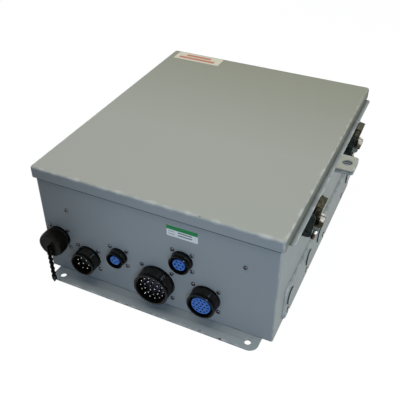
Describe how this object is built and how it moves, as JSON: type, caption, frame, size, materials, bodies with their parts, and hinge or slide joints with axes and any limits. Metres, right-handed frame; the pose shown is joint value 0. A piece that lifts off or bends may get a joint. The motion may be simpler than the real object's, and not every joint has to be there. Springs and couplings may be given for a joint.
{
  "type": "industrial control box",
  "caption": "Wall-mounting steel control box with a hinged gasketed lid, swing-bolt clamps, a padlock hasp, mounting feet and round multi-contact receptacles on one end.",
  "frame": {"origin": "on the mounting plane, in the middle of the four foot holes", "axes": "+Z out of the wall through the lid, -Y out of the receptacle wall, +X out of the clamp wall"},
  "size_m": [0.3426, 0.4129, 0.1566],
  "materials": {
    "grey_enamel": "semi-gloss enamel",
    "lid_enamel": "semi-gloss enamel",
    "black_rubber": "matt",
    "black_anodised": "gloss black",
    "dark_insert": "matt",
    "navy_insert": "matt",
    "blue_insert": "satin",
    "contact_brass": "plated",
    "board_laminate": "solder mask",
    "dark_plastic": "moulded",
    "can_aluminium": "drawn can",
    "core_iron": "varnished laminations",
    "wire_sleeve": "braided sleeve",
    "panel_white": "white enamel",
    "zinc_steel": "zinc plated"
  },
  "bodies": {
    "enclosure": {"board_harness": "wire_sleeve", "board_header": "dark_plastic", "board_standoffs": "zinc_steel", "capacitors": "can_aluminium", "clamp_front_bracket": "zinc_steel", "clamp_front_pin": "zinc_steel", "clamp_rear_bracket": "zinc_steel", "clamp_rear_pin": "zinc_steel", "control_board": "board_laminate", "enclosure_body": "grey_enamel", "hasp_body_tab": "grey_enamel", "hinge_body_leaf": "grey_enamel", "hinge_pin": "zinc_steel", "hole_plugs": "grey_enamel", "mounting_foot_front": "grey_enamel", "mounting_foot_rear": "grey_enamel", "panel_nuts": "zinc_steel", "panel_studs": "zinc_steel", "receptacle_1_insert": "dark_insert", "receptacle_1_pins": "contact_brass", "receptacle_1_shell": "black_anodised", "receptacle_2_insert": "dark_insert", "receptacle_2_pins": "contact_brass", "receptacle_2_shell": "black_anodised", "receptacle_3_insert": "blue_insert", "receptacle_3_shell": "black_anodised", "receptacle_4_insert": "navy_insert", "receptacle_4_pins": "contact_brass", "receptacle_4_shell": "black_anodised", "receptacle_5_insert": "blue_insert", "receptacle_5_shell": "black_anodised", "receptacle_6_insert": "blue_insert", "receptacle_6_shell": "black_anodised", "receptacle_screws": "zinc_steel", "relays": "dark_plastic", "side_plate": "grey_enamel", "side_plate_screws": "zinc_steel", "sub_panel": "panel_white", "terminal_screws": "zinc_steel", "terminal_strip": "dark_plastic", "tie_bar": "zinc_steel", "tie_bar_screws": "zinc_steel", "transformer": "core_iron", "wire_looms": "wire_sleeve"},
    "lid_assembly": {"lid": "lid_enamel", "lid_lip": "lid_enamel", "lid_gasket": "black_rubber", "hinge_lid_leaf": "grey_enamel", "hasp_lid_tab": "grey_enamel"},
    "cap_carrier": {"cap_gasket": "black_rubber", "chain_swivel": "zinc_steel"},
    "cap_cup": {"dust_cap": "black_anodised"},
    "chain_run": {"cap_chain": "zinc_steel", "chain_end": "zinc_steel"},
    "clamp_front_pivot": {"clamp_front_block": "zinc_steel"},
    "clamp_front_strap": {"clamp_front_hook": "zinc_steel"},
    "clamp_front_bolt": {"clamp_front_screw": "zinc_steel"},
    "clamp_rear_pivot": {"clamp_rear_block": "zinc_steel"},
    "clamp_rear_strap": {"clamp_rear_hook": "zinc_steel"},
    "clamp_rear_bolt": {"clamp_rear_screw": "zinc_steel"}
  },
  "joints": [
    {"name": "lid_hinge", "type": "hinge", "parent": "enclosure", "child": "lid_assembly", "pos_m": [-0.1575, 0, 0.1389], "axis": [0, -1, 0], "range_deg": [0, 180]},
    {"name": "cap_travel", "type": "slide", "parent": "enclosure", "child": "cap_carrier", "axis": [0, -1, 0], "range_m": [0, 0.011]},
    {"name": "cap_turn", "type": "hinge", "parent": "cap_carrier", "child": "cap_cup", "pos_m": [-0.1307, -0.2032, 0.0576], "axis": [0, -1, 0], "range_deg": [0, 2800]},
    {"name": "chain_swing", "type": "hinge", "parent": "cap_carrier", "child": "chain_run", "pos_m": [-0.1307, -0.2064, 0.0576], "axis": [-1, 0, 0], "range_deg": [0, 70]},
    {"name": "clamp_front_swing", "type": "hinge", "parent": "enclosure", "child": "clamp_front_pivot", "pos_m": [0.1585, -0.091, 0.1122], "axis": [0, 1, 0], "range_deg": [-11, 16]},
    {"name": "clamp_front_lift", "type": "slide", "parent": "clamp_front_pivot", "child": "clamp_front_strap", "axis": [0.1908, 0, 0.9816], "range_m": [0, 0.004]},
    {"name": "clamp_front_turn", "type": "hinge", "parent": "clamp_front_strap", "child": "clamp_front_bolt", "pos_m": [0.16508, -0.091, 0.11092], "axis": [0.1908, 0, 0.9816], "range_deg": [0, 1800]},
    {"name": "clamp_rear_swing", "type": "hinge", "parent": "enclosure", "child": "clamp_rear_pivot", "pos_m": [0.1585, 0.091, 0.1122], "axis": [0, 1, 0], "range_deg": [-11, 16]},
    {"name": "clamp_rear_lift", "type": "slide", "parent": "clamp_rear_pivot", "child": "clamp_rear_strap", "axis": [0.1908, 0, 0.9816], "range_m": [0, 0.004]},
    {"name": "clamp_rear_turn", "type": "hinge", "parent": "clamp_rear_strap", "child": "clamp_rear_bolt", "pos_m": [0.16508, 0.091, 0.11092], "axis": [0.1908, 0, 0.9816], "range_deg": [0, 1800]}
  ],
  "couplings": [
    {"joint": "cap_travel", "follows": "cap_turn", "m_per_rad": 0.00022459},
    {"joint": "clamp_front_turn", "follows": "clamp_front_lift", "rad_per_m": 7853.9},
    {"joint": "clamp_rear_turn", "follows": "clamp_rear_lift", "rad_per_m": 7853.9}
  ]
}
